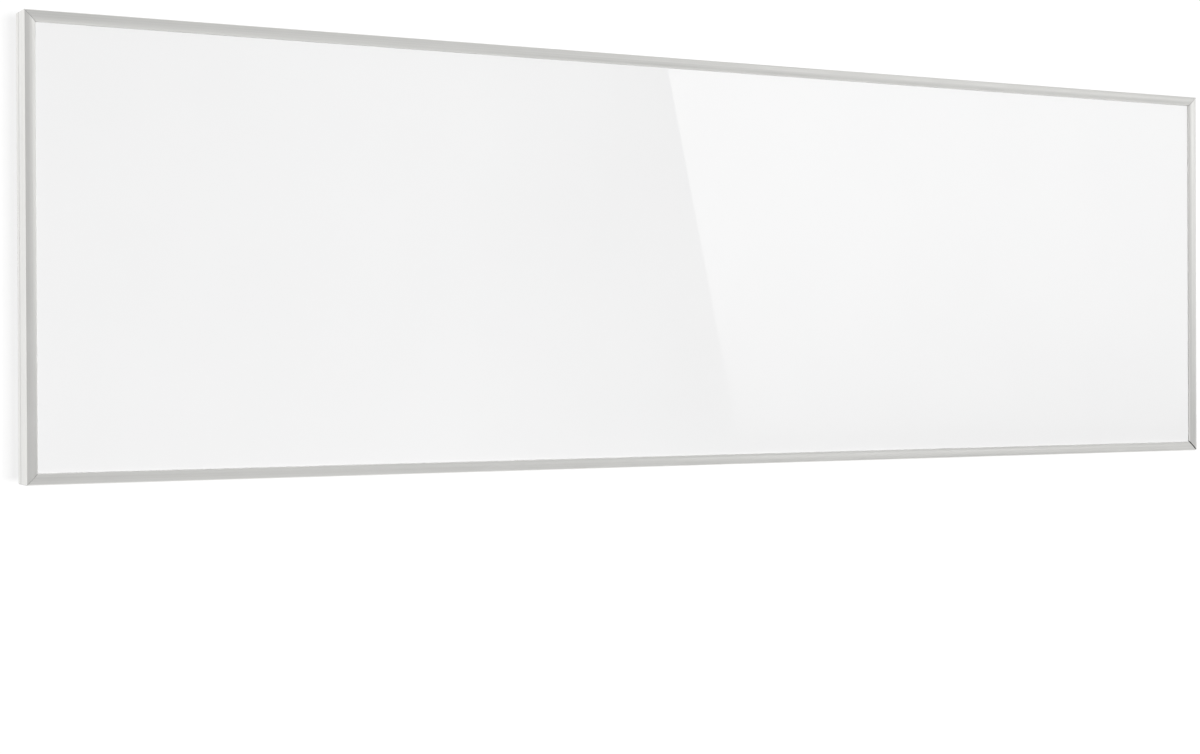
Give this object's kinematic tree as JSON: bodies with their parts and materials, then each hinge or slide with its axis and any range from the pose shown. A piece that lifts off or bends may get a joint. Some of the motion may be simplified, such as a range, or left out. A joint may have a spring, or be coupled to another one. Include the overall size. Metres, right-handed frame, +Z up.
{
  "type": "infrared panel heater",
  "caption": "Slim wall-hung infrared panel heater: glossy white front in a mitred aluminium frame, keyhole hangers and a control box with rocker switch behind.",
  "frame": {"origin": "centre of the four keyholes, on the wall plane", "axes": "+X along the heater, +Y from the front to the wall, +Z up"},
  "size_m": [1.005, 0.047, 0.305],
  "materials": {
    "anodised_frame": "satin",
    "front_enamel": "gloss",
    "key_metal": "matte",
    "screw_steel": "satin",
    "laminate": "matte",
    "track_copper": "satin",
    "insulating_film": "matte",
    "foil": "polished",
    "mineral_wool": "matte",
    "back_enamel": "satin",
    "hanger_steel": "satin",
    "box_plastic": "matte",
    "circuit_laminate": "satin",
    "relay_plastic": "satin",
    "module_plastic": "matte",
    "module_shield": "satin",
    "terminal_plastic": "satin",
    "switch_plastic": "satin",
    "button_plastic": "satin",
    "gland_plastic": "matte",
    "seal_rubber": "matte",
    "clear_plastic": "gloss",
    "led_plastic": "gloss",
    "tab_brass": "satin",
    "limiter_metal": "satin",
    "lead_brown": "satin",
    "lead_blue": "satin",
    "lead_green": "satin"
  },
  "bodies": {
    "heater": {"back_plate": "back_enamel", "back_plate_screws": "screw_steel", "base_screws": "screw_steel", "board_screws": "screw_steel", "bottom_rail": "anodised_frame", "circuit_board": "circuit_laminate", "control_base": "box_plastic", "control_cover": "box_plastic", "corner_grub_screws": "screw_steel", "corner_key_1": "key_metal", "corner_key_2": "key_metal", "corner_key_3": "key_metal", "corner_key_4": "key_metal", "cover_screws": "screw_steel", "earth_lead": "lead_green", "earth_nut": "screw_steel", "earth_screw": "screw_steel", "earth_terminal": "tab_brass", "feed_lead": "lead_brown", "front_panel": "front_enamel", "gland_body": "gland_plastic", "gland_cap": "gland_plastic", "gland_locknut": "gland_plastic", "gland_seal": "seal_rubber", "hanger_1": "hanger_steel", "hanger_2": "hanger_steel", "hanger_3": "hanger_steel", "hanger_4": "hanger_steel", "hanger_rivets": "screw_steel", "heating_board": "laminate", "heating_track": "track_copper", "insulating_sheet": "insulating_film", "insulation_board": "mineral_wool", "left_rail": "anodised_frame", "light_guide": "clear_plastic", "link_lead": "lead_brown", "live_lead": "lead_brown", "neutral_lead": "lead_blue", "power_module": "module_plastic", "reflective_foil": "foil", "relay": "relay_plastic", "right_rail": "anodised_frame", "status_led": "led_plastic", "switch_housing": "switch_plastic", "switch_leads": "lead_brown", "switch_tabs": "tab_brass", "tactile_switch": "module_plastic", "temperature_limiter_1": "limiter_metal", "temperature_limiter_2": "limiter_metal", "terminal_block": "terminal_plastic", "terminal_screws": "screw_steel", "top_rail": "anodised_frame", "track_tabs": "tab_brass", "wireless_module": "module_shield", "wiring_grommet": "seal_rubber"},
    "rocker": {"power_rocker": "switch_plastic"},
    "button": {"pairing_button": "button_plastic", "tactile_plunger": "module_plastic"}
  },
  "joints": [
    {"name": "rocker_tilt", "type": "hinge", "parent": "heater", "child": "rocker", "pos_m": [0.222, -0.0134, -0.1215], "axis": [0, 1, 0], "range_deg": [0, 20]},
    {"name": "button_press", "type": "slide", "parent": "heater", "child": "button", "axis": [0, 0, 1], "range_m": [0, 0.0005], "stiffness_N_per_m": 1000, "springref_m": -0.0005}
  ]
}
